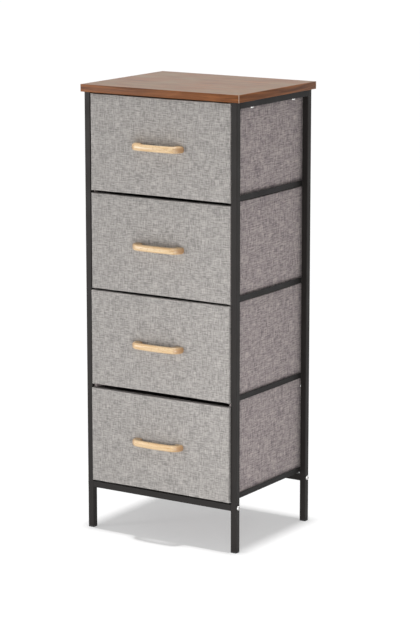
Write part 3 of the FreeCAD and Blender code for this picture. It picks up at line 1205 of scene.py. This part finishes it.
    def settled(self, point: Vector) -> Vector:
        """Where a point on the straight bin comes to lie once the cloth has settled.

        Args:
            point: a point on the outside of the straight bin.

        Returns:
            The settled point.
        """
        low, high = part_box(self.node("bin"))
        middle, half = (low + high) / 2, (high - low) / 2
        u, v, w = ((point[axis] - middle[axis]) / half[axis] for axis in range(3))
        wave = self.wall_ripple.at(point, self.number)
        end = point.copy()
        if abs(u) > self.wall_share:
            end.x += math.copysign(1, u) * (self.belly * (1 - v * v) * (1 - w * w) + wave) * (1 - v**8)
        if v > self.wall_share:
            end.y += (self.belly * (1 - u * u) * (1 - w * w) + wave) * (1 - u**8)
        if w > 0:
            behind = max(
                ramp(point.y - low.y, self.bin_wall, 2 * self.bin_wall),
                ramp(abs(u), self.corner_share, self.corner_width),
            )
            lift = behind * self.rim_rise - (1 - behind) * self.rim_drop
            sag = (1 - v * v) * (self.rim_sag.height + self.rim_sag.at(point, self.number))
            end.z += w * (lift - sag)
        return end

    def settle(self, shape: Shape, levels: int = 1) -> None:
        """Cuts a straight shape so that it can bend, closely behind the bin's front, and lets it settle.

        Args:
            shape: the shape, which lies on the outside of the straight bin.
            levels: how many parts it is cut into from its foot to its rim.
        """
        low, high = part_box(self.node("bin"))
        across, deep = self.bin_parts[:2]
        close = [low.y + steps * self.bin_wall for steps in (1, 2, 3)]
        cut_across(shape, 0, spaced(low.x, high.x, across))
        cut_across(shape, 1, close + [place for place in spaced(low.y, high.y, deep) if place > close[-1]])
        cut_across(shape, 2, spaced(low.z, high.z, levels))
        for vert in shape.verts:
            vert.co = self.settled(vert.co)

    def add_bin(self) -> None:
        """The sewn bin: stiffened cloth walls with a lining, open at the top."""
        low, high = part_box(self.node("bin"))
        shape = block(low, high)
        round_edges(shape, edges_along(shape, 2), self.bin_corner, steps=3)
        round_edges(shape, edges_at(shape, 2, low.z), 0.5 * self.bin_corner, steps=3)
        lid = [face for face in shape.faces if face.normal.z > PARALLEL]
        bmesh.ops.delete(shape, geom=lid, context="FACES_ONLY")
        self.settle(shape, self.bin_parts[2])
        lay_cloth(shape, self.cloth_shift(0.37, 0.53))
        name, stands_for = self.node("sewn_bin"), (self.node("bin"),)
        sewn = self.add_piece(name, shape, self.bin_linen, "linen_bin", stands_for)
        sewn.data.materials.append(self.lining)
        wall = sewn.modifiers.new("cloth_and_lining", "SOLIDIFY")
        wall.thickness = self.bin_wall
        wall.offset = -1.0
        wall.use_even_offset = True
        wall.material_offset = 1

    def add_hem(self) -> None:
        """The band of cloth folded over the rim and sewn down."""
        low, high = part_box(self.node("bin"))
        out = self.hem_stand
        start = Vector((low.x - out, low.y + self.hem_start, high.z - self.hem_width))
        end = Vector((high.x + out, high.y + out, high.z + out))
        shape = block(start, end)
        round_edges(shape, edges_along(shape, 2), self.bin_corner, steps=3)
        ring = [face for face in shape.faces if abs(face.normal.z) > PARALLEL]
        thickness = self.bin_wall + 2 * out
        bmesh.ops.inset_region(shape, faces=ring, thickness=thickness, use_even_offset=True)
        rims = [edge for cap in ring for edge in cap.edges]
        bmesh.ops.delete(shape, geom=ring, context="FACES_ONLY")
        bmesh.ops.bridge_loops(shape, edges=rims)
        shape.normal_update()
        top = [edge for edge in edges_at(shape, 2, end.z) if edge.calc_face_angle(0.0) > SHARP]
        round_edges(shape, top, self.hem_fold, steps=3)
        self.settle(shape)
        self.add_linen("hem_band", shape, 0.21, 0.29)

    def add_piping(self) -> None:
        """The piped seams down the corners and round the floor."""
        low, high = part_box(self.node("bin"))
        reach = self.bin_corner * (1 - math.sqrt(0.5))
        y, floor = high.y - reach, low.z + self.piping_floor
        front, back = low.y + self.bin_corner, high.y - self.bin_corner
        cords = []
        for x in (low.x + reach, high.x - reach):
            cords.append(((x, y, low.z + self.piping_foot), (x, y, high.z - self.hem_width)))
            cords.append(((x, front, floor), (x, back, floor)))
        cords.append(((low.x + self.bin_corner, y, floor), (high.x - self.bin_corner, y, floor)))
        shape = bmesh.new()
        for start, end in cords:
            self.lay_cord(shape, Vector(start), Vector(end), self.piping)
        self.add_linen("seam_piping", shape, 0.0, 0.8, crease=60)

    def lay_cord(self, shape: Shape, start: Vector, end: Vector, radius: float) -> None:
        """Adds a straight length of covered piping cord with rounded ends.

        Args:
            shape: the shape that it is added to.
            start: the middle of one end.
            end: the middle of the other.
            radius: the cord's radius.
        """
        run = end - start
        cord = bmesh.new()
        bmesh.ops.create_cone(
            cord, cap_ends=True, segments=10, radius1=radius, radius2=radius, depth=run.length
        )
        round_edges(cord, edges_level(cord), 0.5 * radius, steps=2)
        turn = run.to_track_quat("Z", "Y").to_matrix().to_4x4()
        absorb(shape, cord, Matrix.Translation((start + end) / 2) @ turn)
        cord.free()

    def add_binding(self) -> None:
        """The bound seams that stand out from the bin's two front corners, where the front is sewn on."""
        low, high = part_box(self.node("bin"))
        head = high.z + self.rim_rise + self.binding_head
        shape = bmesh.new()
        for side, x in ((-1, low.x), (1, high.x)):
            outside = x + side * self.binding
            inner, outer = sorted((x - side * self.binding_seam, outside))
            foot = Vector((inner, low.y + self.binding_set_back, low.z + self.binding_foot))
            strip = block(foot, Vector((outer, foot.y + self.binding_thickness, head)))
            round_edges(strip, edges_at(strip, 0, outside), self.binding_round, steps=3)
            cut_across(strip, 2, spaced(foot.z, head, self.binding_parts))
            for vert in strip.verts:
                vert.co.y += self.binding_ripple.at(vert.co, self.number)
            absorb(shape, strip, Matrix.Identity(4))
            strip.free()
        self.add_linen("corner_binding", shape, 0.0, 0.44)

    def add_stitches(self) -> None:
        """The row of stitches that holds the hem down."""
        low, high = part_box(self.node("bin"))
        height = high.z - self.hem_width + self.stitch_inset
        stitch = bmesh.new()
        bmesh.ops.create_icosphere(stitch, subdivisions=1, radius=0.5)
        bmesh.ops.scale(stitch, verts=stitch.verts, vec=self.stitch)
        clear, out = self.bin_corner + self.stitch[0], self.hem_stand
        quarter_turn = Matrix.Rotation(math.pi / 2, 4, "Z")
        rows = [
            ((x, low.y + clear), (x, high.y - clear), quarter_turn) for x in (low.x - out, high.x + out)
        ]
        rear = high.y + out
        rows.append(((low.x + clear, rear), (high.x - clear, rear), Matrix.Identity(4)))
        shape = bmesh.new()
        for first, last, turn in rows:
            start, end = Vector((*first, height)), Vector((*last, height))
            for middle in spots(start, end, int((end - start).length / self.stitch_pitch)):
                absorb(shape, stitch, Matrix.Translation(self.settled(middle)) @ turn)
        stitch.free()
        self.add_piece(self.node("hem_stitches"), shape, self.thread, "linen_bin", crease=80)

    def add_insert(self) -> None:
        """The covered board on the floor of the bin."""
        low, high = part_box(self.node("base_board"))
        shape = block(low, high)
        round_edges(shape, edges_along(shape, 2), self.insert_corner, steps=4)
        round_edges(shape, edges_level(shape), self.insert_round, steps=2)
        cut_across(shape, 0, spaced(low.x, high.x, self.insert_parts[0]))
        cut_across(shape, 1, spaced(low.y, high.y, self.insert_parts[1]))
        for vert in shape.verts:
            if vert.co.z > (low.z + high.z) / 2:
                vert.co.z -= self.insert_dent.height + self.insert_dent.at(vert.co, self.number)
        name, stands_for = self.node("base_insert"), (self.node("base_board"),)
        self.add_piece(name, shape, self.lining, "fibreboard", stands_for)

    def add_handle(self) -> None:
        """The bow handle, shaped from one outline and rounded over all round."""
        low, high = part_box(self.node("handle"))
        seat, reach = high.y, high.y - low.y - self.handle_bow
        outer, inner = seat - reach, seat + self.handle_bar - reach
        half = (high.x - low.x) / 2
        foot = half - self.handle_foot
        outline = (
            (-half, seat),
            (-half, outer),
            (half, outer),
            (half, seat),
            (foot, seat),
            (foot, inner),
            (-foot, inner),
            (-foot, seat),
        )
        shape = bmesh.new()
        plan = shape.faces.new([shape.verts.new((x, y, low.z)) for x, y in outline])
        raised = bmesh.ops.extrude_face_region(shape, geom=[plan])
        lifted = [item for item in raised["geom"] if isinstance(item, bmesh.types.BMVert)]
        bmesh.ops.translate(shape, verts=lifted, vec=(0, 0, high.z - low.z))
        bmesh.ops.recalc_face_normals(shape, faces=shape.faces)
        upright = edges_along(shape, 2)
        shoulders = [edge for edge in upright if near(edge.verts[0].co.y, outer)]
        throats = [edge for edge in upright if near(edge.verts[0].co.y, inner)]
        round_edges(shape, shoulders, self.handle_shoulder, steps=11)
        round_edges(shape, throats, self.handle_throat, steps=7)
        bar_ends = low.x + self.handle_shoulder, high.x - self.handle_shoulder
        cut_across(shape, 0, spaced(*bar_ends, self.handle_parts))
        shape.normal_update()
        seated = edges_at(shape, 1, seat)
        rim = []
        for edge in shape.edges:
            level = {abs(face.normal.z) > PARALLEL for face in edge.link_faces}
            if len(level) == 2 and edge not in seated:
                rim.append(edge)
        round_edges(shape, rim, self.handle_round, steps=6)
        for vert in shape.verts:
            depth = ramp(seat - vert.co.y, 0.0, reach - self.handle_bar)
            share = depth * depth * (3 - 2 * depth)
            vert.co.y -= share * self.handle_bow * (1 - (vert.co.x / half) ** 2)
        name, stands_for = self.node("bow_handle"), (self.node("handle"),)
        self.add_piece(name, shape, self.beech, "beech", stands_for, crease=50)

    def add_handle_screws(self) -> None:
        """The two screw heads inside the bin that hold the handle."""
        low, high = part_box(self.node("handle"))
        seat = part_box(self.node("bin"))[0].y + self.bin_wall
        sizes = {"shank": 2 * MM, "shank_length": 10 * MM, "recess": 2.2 * MM, "recess_depth": 1.3 * MM}
        face_back = Matrix.Rotation(-math.pi / 2, 4, "X")
        places = [
            Matrix.Translation((x, seat, (low.z + high.z) / 2)) @ face_back
            for x in (low.x + self.screw_inset, high.x - self.screw_inset)
        ]
        head = ScrewHead(Drive.CROSS, 4.5 * MM, 2.4 * MM, **sizes)
        self.add_screws(self.node("handle_screws"), head, places, self.zinc)


# ---- Studio ----


@dataclass(frozen=True)
class Softbox:
    """A square soft light that looks at a point."""

    name: str
    place: tuple[float, float, float]
    aim: tuple[float, float, float]
    side: float
    power: float

    def switch_on(self) -> None:
        """Adds the light to the scene."""
        light = bpy.data.lights.new(self.name, "AREA")
        light.shape = "SQUARE"
        light.size = self.side
        light.energy = self.power
        lamp = bpy.data.objects.new(self.name, light)
        lamp.location = self.place
        lamp.rotation_euler = (Vector(self.aim) - Vector(self.place)).to_track_quat("-Z", "Y").to_euler()
        bpy.context.scene.collection.objects.link(lamp)


@dataclass(frozen=True)
class Studio:
    """A white room: a pale floor that keeps a soft shadow, soft lights, and the camera."""

    ambient: float = 0.33
    overhead: float = 2.4
    overhead_spread: float = 3.0
    floor_paint: str = "#cdcdcd"
    floor_lift: float = 0.36
    floor_radius: float = 30.0
    lens: float = 141.65
    sensor: float = 36.0
    sight: float = 100.0
    stand: tuple[float, float, float] = (3.0336, -4.697, 1.6482)
    pan: float = 32.52
    tilt: float = -11.6
    key: Softbox = Softbox("key_light", (-3.1, -3.2, 0.7), (0.0, -0.1, 0.4), side=1.1, power=64.0)
    fill: Softbox = Softbox("fill_light", (0.87, -1.19, 0.24), (0.1, -0.1, 0.3), side=0.45, power=7.4)

    def build(self) -> None:
        """Sets up the whole room."""
        bpy.context.scene.view_settings.view_transform = "Standard"
        self.paint_world()
        self.lay_floor()
        self.hang_overhead()
        self.key.switch_on()
        self.fill.switch_on()
        self.set_camera()

    def show(self, tree: Tree, working: Socket, seen: Socket) -> Socket:
        """Shows one shader to the eye, gloss and glass, while another does the lighting.

        Args:
            tree: the node tree that it is made in.
            working: the shader that light meets on its way.
            seen: the shader that is seen.

        Returns:
            The socket with both.
        """
        path = add_node(tree, "LightPath").outputs
        direct = path["Is Camera Ray"]
        for ray in ("Is Glossy Ray", "Is Transmission Ray"):
            direct = add_node(tree, "Math", {0: direct, 1: path[ray]}, operation="MAXIMUM").outputs[0]
        return add_node(tree, "MixShader", {0: direct, 1: working, 2: seen}).outputs[0]

    def paint_world(self) -> None:
        """White all round for the eye, and an even soft light for the chest."""
        world = bpy.data.worlds.new("white_room")
        world.use_nodes = True
        tree = world.node_tree
        tree.nodes.clear()
        light = add_node(tree, "Background", {"Color": WHITE, "Strength": self.ambient}).outputs[0]
        white = add_node(tree, "Background", {"Color": WHITE, "Strength": 1.0}).outputs[0]
        add_node(tree, "OutputWorld", {"Surface": self.show(tree, light, white)})
        bpy.context.scene.world = world

    def lay_floor(self) -> None:
        """A wide pale floor that reads as white and keeps the shadow."""
        material = bpy.data.materials.new("painted_floor")
        material.use_nodes = True
        tree = material.node_tree
        tree.nodes.clear()
        paint = add_node(tree, "BsdfDiffuse", {"Color": self.floor_paint}).outputs[0]
        lift = add_node(tree, "Emission", {"Color": WHITE, "Strength": self.floor_lift}).outputs[0]
        bright = add_node(tree, "AddShader", {0: paint, 1: lift}).outputs[0]
        add_node(tree, "OutputMaterial", {"Surface": self.show(tree, paint, bright)})
        shape = bmesh.new()
        bmesh.ops.create_circle(shape, cap_ends=True, segments=64, radius=self.floor_radius)
        mesh = bpy.data.meshes.new("floor")
        shape.to_mesh(mesh)
        shape.free()
        mesh.materials.append(material)
        floor = bpy.data.objects.new("floor", mesh)
        bpy.context.scene.collection.objects.link(floor)

    def hang_overhead(self) -> None:
        """The soft light straight above, which puts the shadow between the feet."""
        light = bpy.data.lights.new("overhead_light", "SUN")
        light.energy = self.overhead
        light.angle = math.radians(self.overhead_spread)
        lamp = bpy.data.objects.new("overhead_light", light)
        bpy.context.scene.collection.objects.link(lamp)

    def set_camera(self) -> None:
        """The long-lens camera, to the right of the chest and a little above it."""
        data = bpy.data.cameras.new("camera")
        data.lens = self.lens
        data.sensor_width = self.sensor
        data.clip_end = self.sight
        camera = bpy.data.objects.new("camera", data)
        camera.location = self.stand
        camera.rotation_euler = (math.radians(90 + self.tilt), 0.0, math.radians(self.pan))
        bpy.context.scene.collection.objects.link(camera)
        bpy.context.scene.camera = camera


def main() -> None:
    """Builds the chest, sub-assembly by sub-assembly, and the room round it."""
    logging.basicConfig(level=logging.INFO, format="%(message)s")
    front_linen = LinenWeave("woven_polyester_linen_front", "#beb9b5", "#868380").material()
    looser = {"weft_share": 1.0, "slub_share": 0.8}
    bin_linen = LinenWeave("woven_polyester_linen_bin", "#c9bdb9", "#7a6f73", **looser).material()
    lining = NonwovenLining("nonwoven_polypropylene").material()
    thread = SewingThread("polyester_thread").material()
    beech = LacqueredBeech("lacquered_beech").material()
    zinc = ZincPlate("zinc_plated_steel").material()
    powder = PowderCoat("black_powder_coat").material()
    # The rails and runners take a darker copy of the powder coat: painted shade for where they lie back
    # between the posts and under the board.
    powder_painted_shade = PowderCoat("black_powder_coat_painted_shade", "#151312", "#1c1918").material()
    plastic = MouldedPlastic("moulded_polypropylene").material()
    laminate = WalnutMelamine("walnut_melamine").material()
    edge = {"dark": "#5b341c", "light": "#9a6139", "clouding": 0.0, "shine": 0.15}
    along_x = WalnutMelamine("walnut_edge_band_x", **edge).material()
    along_y = WalnutMelamine("walnut_edge_band_y", Grain.ALONG_Y, **edge).material()
    # The ends of the edge bands: cut core and painted highlight.
    core_and_highlight = EdgeBandCoreAndHighlight("edge_band_core_and_highlight").material()
    TopBoard("frame", laminate, along_x, along_y, core_and_highlight).build()
    SteelFrame("frame", powder, powder_painted_shade, plastic, zinc).build()
    finishes = (front_linen, bin_linen, lining, thread, beech, zinc)
    for number, lift, rise in ((1, 0.0, 2.0), (2, 0.0, 4.6), (3, 2.0, 4.6), (4, -1.0, 5.4)):
        drawer = Drawer(f"drawer_{number}", number, *finishes, front_lift=lift * MM, rim_rise=rise * MM)
        drawer.build()
    Studio().build()


if __name__ == "__main__":
    main()
